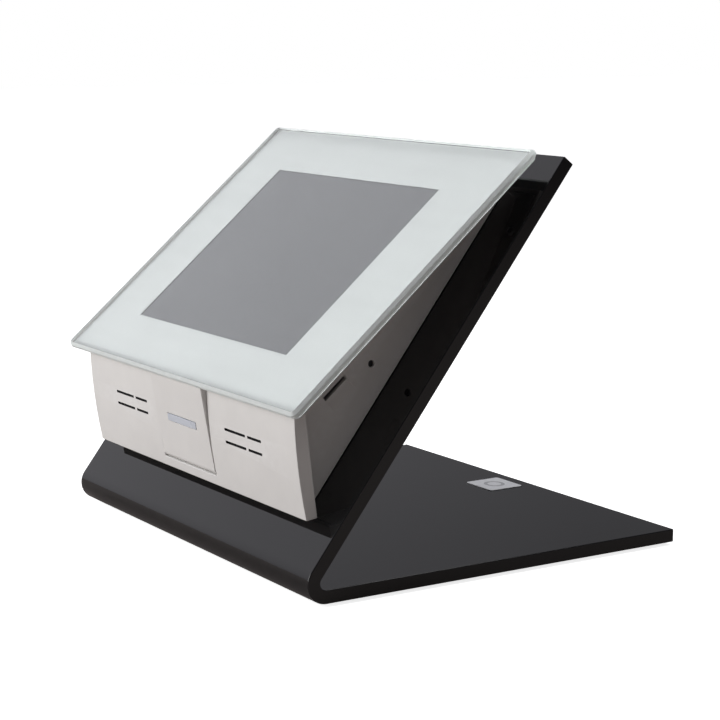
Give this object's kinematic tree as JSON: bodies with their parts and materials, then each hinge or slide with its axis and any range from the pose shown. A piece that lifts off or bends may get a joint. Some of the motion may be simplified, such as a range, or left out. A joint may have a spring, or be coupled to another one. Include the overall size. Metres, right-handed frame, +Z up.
{
  "type": "tabletop touchscreen terminal",
  "caption": "Tabletop touchscreen terminal: bevelled white glass front on a wedge housing with speaker slots and a service flap, on a stand bent from black acrylic.",
  "frame": {"origin": "middle of the bounding box in plan, on the surface the feet rest on", "axes": "+X across the stand to the visitor's right, +Y away from the visitor, +Z up; the glass faces -Y and up"},
  "size_m": [0.22, 0.2004, 0.1831],
  "materials": {
    "black_acrylic": "high gloss cast acrylic, polished edges",
    "rubber": "matt moulded rubber",
    "label_foil": "satin printed label, blank",
    "steel": "zinc plated steel",
    "white_plastic": "fine textured off-white moulding",
    "white_glass": "clear toughened glass, polished bevel",
    "white_ink": "opaque white print behind the glass",
    "display": "switched-off grey display",
    "black_foam": "closed-cell foam",
    "circuit_board": "green solder mask",
    "brass": "turned brass",
    "black_plastic": "black moulding",
    "aluminium": "satin aluminium",
    "pale_blue_lens": "pale blue-grey light guide",
    "amber_film": "polyimide film"
  },
  "bodies": {
    "terminal": {"acrylic_stand": "black_acrylic", "rubber_foot_1": "rubber", "rubber_foot_2": "rubber", "rubber_foot_3": "rubber", "rubber_foot_4": "rubber", "base_label": "label_foil", "mounting_plate": "steel", "cable_grommet": "rubber", "stand_screw_1": "steel", "stand_screw_2": "steel", "stand_screw_3": "steel", "stand_screw_4": "steel", "screw_washer_1": "black_plastic", "screw_washer_2": "black_plastic", "screw_washer_3": "black_plastic", "screw_washer_4": "black_plastic", "threaded_insert_1": "brass", "threaded_insert_2": "brass", "threaded_insert_3": "brass", "threaded_insert_4": "brass", "front_glass": "white_glass", "print_mask": "white_ink", "glass_tape": "black_foam", "touch_sensor": "display", "display_gasket": "black_foam", "display_frame": "steel", "display_cell": "display", "backlight_unit": "aluminium", "front_bezel": "white_plastic", "rear_case": "white_plastic", "case_screw_1": "steel", "case_screw_2": "steel", "case_screw_3": "steel", "case_screw_4": "steel", "main_board": "circuit_board", "board_standoff_1": "brass", "board_standoff_2": "brass", "board_standoff_3": "brass", "board_standoff_4": "brass", "board_screw_1": "steel", "board_screw_2": "steel", "board_screw_3": "steel", "board_screw_4": "steel", "card_socket": "steel", "reset_switch": "black_plastic", "terminal_block": "black_plastic", "heat_sink": "aluminium", "display_ribbon": "amber_film", "speaker_cloth_left": "black_foam", "speaker_cloth_right": "black_foam", "speaker_left": "black_plastic", "speaker_right": "black_plastic", "flap_hinge_pin": "steel", "service_tray": "black_plastic", "usb_socket_1": "steel", "usb_socket_2": "steel"},
    "flap": {"service_flap": "white_plastic", "indicator_bar": "pale_blue_lens"},
    "reset": {"reset_button": "black_plastic"}
  },
  "joints": [
    {"name": "flap_hinge", "type": "hinge", "parent": "terminal", "child": "flap", "pos_m": [-0.0027, -0.08767, 0.04139], "axis": [1, 0, 0], "range_deg": [0, 90]},
    {"name": "reset_press", "type": "slide", "parent": "terminal", "child": "reset", "axis": [-1, 0, 0], "range_m": [0, 0.0004], "stiffness_N_per_m": 2500}
  ]
}
